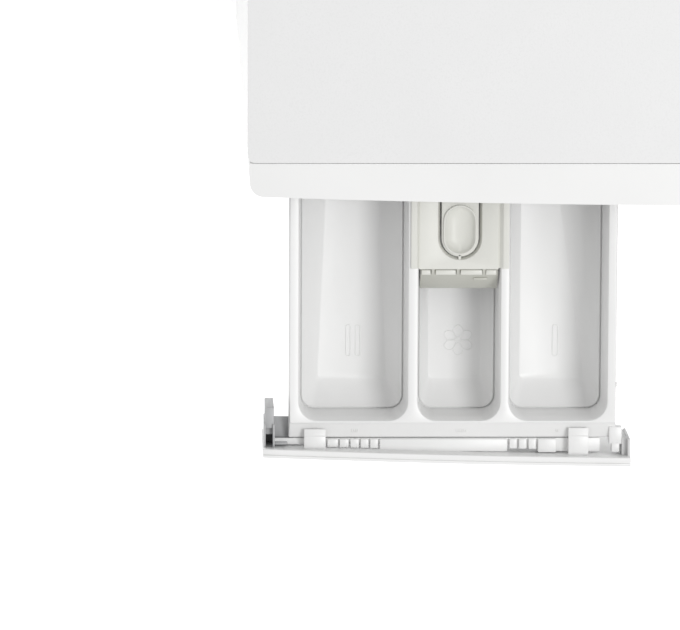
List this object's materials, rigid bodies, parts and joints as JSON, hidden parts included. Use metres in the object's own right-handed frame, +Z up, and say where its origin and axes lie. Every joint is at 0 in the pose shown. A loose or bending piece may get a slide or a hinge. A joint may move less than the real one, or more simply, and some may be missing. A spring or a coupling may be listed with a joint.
{
  "type": "washing machine",
  "caption": "Free-standing front load washing machine with a sprung tub, a glass porthole door and a pull-out detergent drawer.",
  "frame": {"origin": "on the floor, at the middle of the outline with the detergent drawer open", "axes": "+X to the machine's right seen from the front, +Y to its rear, +Z up"},
  "size_m": [0.6, 0.7271, 0.85],
  "materials": {
    "white_enamel": "gloss",
    "galvanised_sheet": "satin",
    "worktop_laminate": "satin",
    "white_plastic": "satin",
    "warm_grey_plastic": "satin",
    "grey_plastic": "matte",
    "dark_plastic": "matte",
    "display_black": "gloss",
    "circuit_board": "satin",
    "chrome_trim": "gloss",
    "door_glass": "gloss",
    "gasket_rubber": "satin",
    "black_rubber": "matte",
    "zinc_steel": "satin",
    "stainless_steel": "gloss",
    "cast_aluminium": "satin",
    "concrete": "matte",
    "motor_casing": "satin"
  },
  "bodies": {
    "cabinet": {"side_panel_left": "white_enamel", "side_panel_right": "white_enamel", "rear_panel": "galvanised_sheet", "worktop": "worktop_laminate", "front_panel": "white_enamel", "control_fascia": "white_plastic", "base_pan": "galvanised_sheet", "cross_braces": "galvanised_sheet", "kick_panel": "white_plastic", "cabinet_screws": "zinc_steel", "dispenser_housing": "grey_plastic", "inlet_valve": "grey_plastic", "pressure_switch": "grey_plastic", "control_board": "circuit_board", "display_window": "display_black", "door_hinge": "zinc_steel", "hinge_pin": "zinc_steel", "door_lock": "dark_plastic", "door_gasket": "gasket_rubber", "suspension_springs": "zinc_steel", "damper_cylinders": "dark_plastic", "pump_housing": "grey_plastic", "hoses": "black_rubber", "cord_gland": "dark_plastic"},
    "tub": {"tub_front": "grey_plastic", "tub_rear": "grey_plastic", "tub_seals": "black_rubber", "tub_screws": "zinc_steel", "counterweights": "concrete", "heater": "zinc_steel", "bearings": "zinc_steel", "drive_belt": "black_rubber", "motor": "motor_casing", "damper_rods": "zinc_steel"},
    "drum": {"drum_shell": "stainless_steel", "drum_front": "stainless_steel", "drum_back": "stainless_steel", "lifters": "grey_plastic", "spider": "cast_aluminium", "drum_shaft": "zinc_steel", "drum_pulley": "cast_aluminium"},
    "motor_pulley": {"motor_pulley": "zinc_steel"},
    "door": {"door_outer_ring": "white_plastic", "door_inner_ring": "grey_plastic", "door_glass": "door_glass"},
    "door_handle": {"door_handle": "chrome_trim"},
    "drawer": {"drawer_tray": "white_plastic", "drawer_front": "white_plastic", "siphon_cap": "warm_grey_plastic"},
    "release_tongue": {"release_tongue": "warm_grey_plastic"},
    "program_knob": {"program_knob": "white_plastic"},
    "start_button": {"start_button": "white_plastic"},
    "option_button": {"option_button": "white_plastic"},
    "pump_impeller": {"pump_impeller": "dark_plastic"},
    "filter_cap": {"filter_cap": "dark_plastic"},
    "filter_flap": {"filter_flap": "white_plastic"},
    "foot_front_left": {"foot_front_left": "dark_plastic"},
    "foot_front_right": {"foot_front_right": "dark_plastic"},
    "foot_rear_left": {"foot_rear_left": "dark_plastic"},
    "foot_rear_right": {"foot_rear_right": "dark_plastic"}
  },
  "joints": [
    {"name": "drawer_slide", "type": "slide", "parent": "cabinet", "child": "drawer", "axis": [0, 1, 0], "range_m": [0, 0.1525]},
    {"name": "tongue_press", "type": "hinge", "parent": "drawer", "child": "release_tongue", "pos_m": [-0.1805, -0.18868, 0.81], "axis": [1, 0, 0], "range_deg": [0, 6], "stiffness_Nm_per_rad": 0.5, "springref_deg": -2.86},
    {"name": "knob_turn", "type": "hinge", "parent": "cabinet", "child": "program_knob", "pos_m": [0.02, -0.21145, 0.795], "axis": [0, 1, 0], "continuous": true},
    {"name": "start_press", "type": "slide", "parent": "cabinet", "child": "start_button", "axis": [0, 1, 0], "range_m": [0, 0.0015], "stiffness_N_per_m": 500, "springref_m": -0.001},
    {"name": "option_press", "type": "slide", "parent": "cabinet", "child": "option_button", "axis": [0, 1, 0], "range_m": [0, 0.0015], "stiffness_N_per_m": 500, "springref_m": -0.001},
    {"name": "door_swing", "type": "hinge", "parent": "cabinet", "child": "door", "pos_m": [-0.222, -0.21845, 0.43], "axis": [0, 0, -1], "range_deg": [0, 150]},
    {"name": "handle_pull", "type": "hinge", "parent": "door", "child": "door_handle", "pos_m": [0.172, -0.22545, 0.43], "axis": [0, 0, -1], "range_deg": [0, 10], "stiffness_Nm_per_rad": 1.5, "springref_deg": -5.73},
    {"name": "tub_bounce", "type": "slide", "parent": "cabinet", "child": "tub", "axis": [0, 0, 1], "range_m": [-0.01, 0.01], "stiffness_N_per_m": 15000, "springref_m": 0.02301, "deforming": ["suspension_springs", "hoses", "door_gasket"]},
    {"name": "drum_spin", "type": "hinge", "parent": "tub", "child": "drum", "pos_m": [0, 0.08855, 0.43], "axis": [0, 1, 0], "continuous": true},
    {"name": "motor_spin", "type": "hinge", "parent": "tub", "child": "motor_pulley", "pos_m": [0, 0.08855, 0.107], "axis": [0, 1, 0], "continuous": true},
    {"name": "impeller_spin", "type": "hinge", "parent": "cabinet", "child": "pump_impeller", "pos_m": [0.19, -0.04145, 0.076], "axis": [0, 1, 0], "continuous": true},
    {"name": "filter_cap_turn", "type": "hinge", "parent": "cabinet", "child": "filter_cap", "pos_m": [0.19, -0.17745, 0.076], "axis": [0, 1, 0], "range_deg": [-180, 0]},
    {"name": "filter_flap_open", "type": "hinge", "parent": "cabinet", "child": "filter_flap", "pos_m": [0.19, -0.18835, 0.048], "axis": [1, 0, 0], "range_deg": [0, 90]},
    {"name": "foot_front_left_screw", "type": "slide", "parent": "cabinet", "child": "foot_front_left", "axis": [0, 0, -1], "range_m": [0, 0.012]},
    {"name": "foot_front_right_screw", "type": "slide", "parent": "cabinet", "child": "foot_front_right", "axis": [0, 0, -1], "range_m": [0, 0.012]},
    {"name": "foot_rear_left_screw", "type": "slide", "parent": "cabinet", "child": "foot_rear_left", "axis": [0, 0, -1], "range_m": [0, 0.012]},
    {"name": "foot_rear_right_screw", "type": "slide", "parent": "cabinet", "child": "foot_rear_right", "axis": [0, 0, -1], "range_m": [0, 0.012]}
  ],
  "couplings": [
    {"joint": "motor_spin", "follows": "drum_spin", "ratio": 14}
  ]
}
